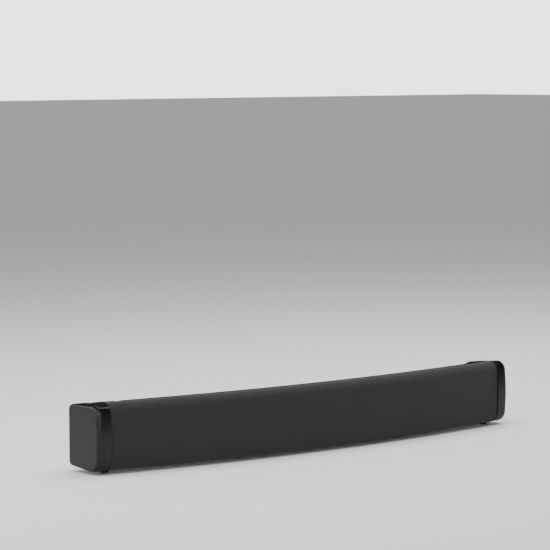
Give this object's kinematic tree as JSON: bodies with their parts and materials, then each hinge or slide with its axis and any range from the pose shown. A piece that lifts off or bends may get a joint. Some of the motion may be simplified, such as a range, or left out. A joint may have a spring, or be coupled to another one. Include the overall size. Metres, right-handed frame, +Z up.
{
  "type": "soundbar",
  "caption": "Wide soundbar with a bowed cloth front, glossy black end caps, a straight back with connectors and hanger plates, side buttons and moving driver cones.",
  "frame": {"origin": "under the middle of the bar, on the surface that its feet stand on, at the centre of its bounding box in plan", "axes": "+X along the bar to the right of someone facing its front, -Y out of the cloth front, +Z up"},
  "size_m": [1, 0.129, 0.1259],
  "materials": {
    "acoustic_cloth": "fine woven, dark grey",
    "gloss_black": "polished",
    "satin_black": "satin, fine grain",
    "inner_plastic": "moulded",
    "rubber": "matte",
    "cone_paper": "pressed pulp",
    "dome_fabric": "doped weave",
    "steel": "zinc plated",
    "ferrite": "sintered",
    "aluminium": "bare",
    "circuit_board": "solder mask"
  },
  "bodies": {
    "housing": {"back_panel": "satin_black", "button_board": "circuit_board", "connector_panel": "inner_plastic", "data_socket": "steel", "filter_capacitor": "aluminium", "front_baffle": "inner_plastic", "grille_cloth": "acoustic_cloth", "grille_frame": "inner_plastic", "heat_sink": "aluminium", "infrared_board": "circuit_board", "left_divider": "inner_plastic", "left_end_cap": "gloss_black", "left_front_foot": "rubber", "left_hanger_plate": "steel", "left_inner_driver_basket": "steel", "left_inner_driver_magnet": "ferrite", "left_inner_driver_surround": "rubber", "left_outer_driver_basket": "steel", "left_outer_driver_magnet": "ferrite", "left_outer_driver_surround": "rubber", "left_port_tube": "inner_plastic", "left_rear_foot": "rubber", "left_top_strip": "satin_black", "left_tweeter_magnet": "ferrite", "left_tweeter_plate": "satin_black", "line_socket": "inner_plastic", "main_board": "circuit_board", "optical_socket": "inner_plastic", "power_inlet": "inner_plastic", "power_supply_board": "circuit_board", "rear_housing": "satin_black", "right_divider": "inner_plastic", "right_end_cap": "gloss_black", "right_front_foot": "rubber", "right_hanger_plate": "steel", "right_inner_driver_basket": "steel", "right_inner_driver_magnet": "ferrite", "right_inner_driver_surround": "rubber", "right_outer_driver_basket": "steel", "right_outer_driver_magnet": "ferrite", "right_outer_driver_surround": "rubber", "right_port_tube": "inner_plastic", "right_rear_foot": "rubber", "right_top_strip": "satin_black", "right_tweeter_magnet": "ferrite", "right_tweeter_plate": "satin_black", "transformer": "ferrite", "video_socket": "steel", "wireless_module": "circuit_board"},
    "power_button": {"power_button": "satin_black"},
    "source_button": {"source_button": "satin_black"},
    "volume_up_button": {"volume_up_button": "satin_black"},
    "volume_down_button": {"volume_down_button": "satin_black"},
    "pairing_button": {"pairing_button": "satin_black"},
    "left_outer_driver_cone": {"left_outer_driver_cone": "cone_paper"},
    "left_inner_driver_cone": {"left_inner_driver_cone": "cone_paper"},
    "right_outer_driver_cone": {"right_outer_driver_cone": "cone_paper"},
    "right_inner_driver_cone": {"right_inner_driver_cone": "cone_paper"},
    "left_tweeter_dome": {"left_tweeter_dome": "dome_fabric"},
    "right_tweeter_dome": {"right_tweeter_dome": "dome_fabric"}
  },
  "joints": [
    {"name": "power_button_press", "type": "slide", "parent": "housing", "child": "power_button", "axis": [-1, 0, 0], "range_m": [0, 0.0008], "stiffness_N_per_m": 400},
    {"name": "source_button_press", "type": "slide", "parent": "housing", "child": "source_button", "axis": [-1, 0, 0], "range_m": [0, 0.0008], "stiffness_N_per_m": 400},
    {"name": "volume_up_button_press", "type": "slide", "parent": "housing", "child": "volume_up_button", "axis": [-1, 0, 0], "range_m": [0, 0.0008], "stiffness_N_per_m": 400},
    {"name": "volume_down_button_press", "type": "slide", "parent": "housing", "child": "volume_down_button", "axis": [-1, 0, 0], "range_m": [0, 0.0008], "stiffness_N_per_m": 400},
    {"name": "pairing_button_press", "type": "slide", "parent": "housing", "child": "pairing_button", "axis": [-1, 0, 0], "range_m": [0, 0.0008], "stiffness_N_per_m": 400},
    {"name": "left_outer_driver_travel", "type": "slide", "parent": "housing", "child": "left_outer_driver_cone", "axis": [-0.1432, -0.9897, 0], "range_m": [-0.0025, 0.0025], "stiffness_N_per_m": 1500, "deforming": ["left_outer_driver_surround"]},
    {"name": "left_inner_driver_travel", "type": "slide", "parent": "housing", "child": "left_inner_driver_cone", "axis": [-0.107, -0.9943, 0], "range_m": [-0.0025, 0.0025], "stiffness_N_per_m": 1500, "deforming": ["left_inner_driver_surround"]},
    {"name": "right_outer_driver_travel", "type": "slide", "parent": "housing", "child": "right_outer_driver_cone", "axis": [0.1432, -0.9897, 0], "range_m": [-0.0025, 0.0025], "stiffness_N_per_m": 1500, "deforming": ["right_outer_driver_surround"]},
    {"name": "right_inner_driver_travel", "type": "slide", "parent": "housing", "child": "right_inner_driver_cone", "axis": [0.107, -0.9943, 0], "range_m": [-0.0025, 0.0025], "stiffness_N_per_m": 1500, "deforming": ["right_inner_driver_surround"]},
    {"name": "left_tweeter_travel", "type": "slide", "parent": "housing", "child": "left_tweeter_dome", "axis": [-0.0816, -0.9967, 0], "range_m": [-0.0003, 0.0003], "stiffness_N_per_m": 2500},
    {"name": "right_tweeter_travel", "type": "slide", "parent": "housing", "child": "right_tweeter_dome", "axis": [0.0816, -0.9967, 0], "range_m": [-0.0003, 0.0003], "stiffness_N_per_m": 2500}
  ]
}
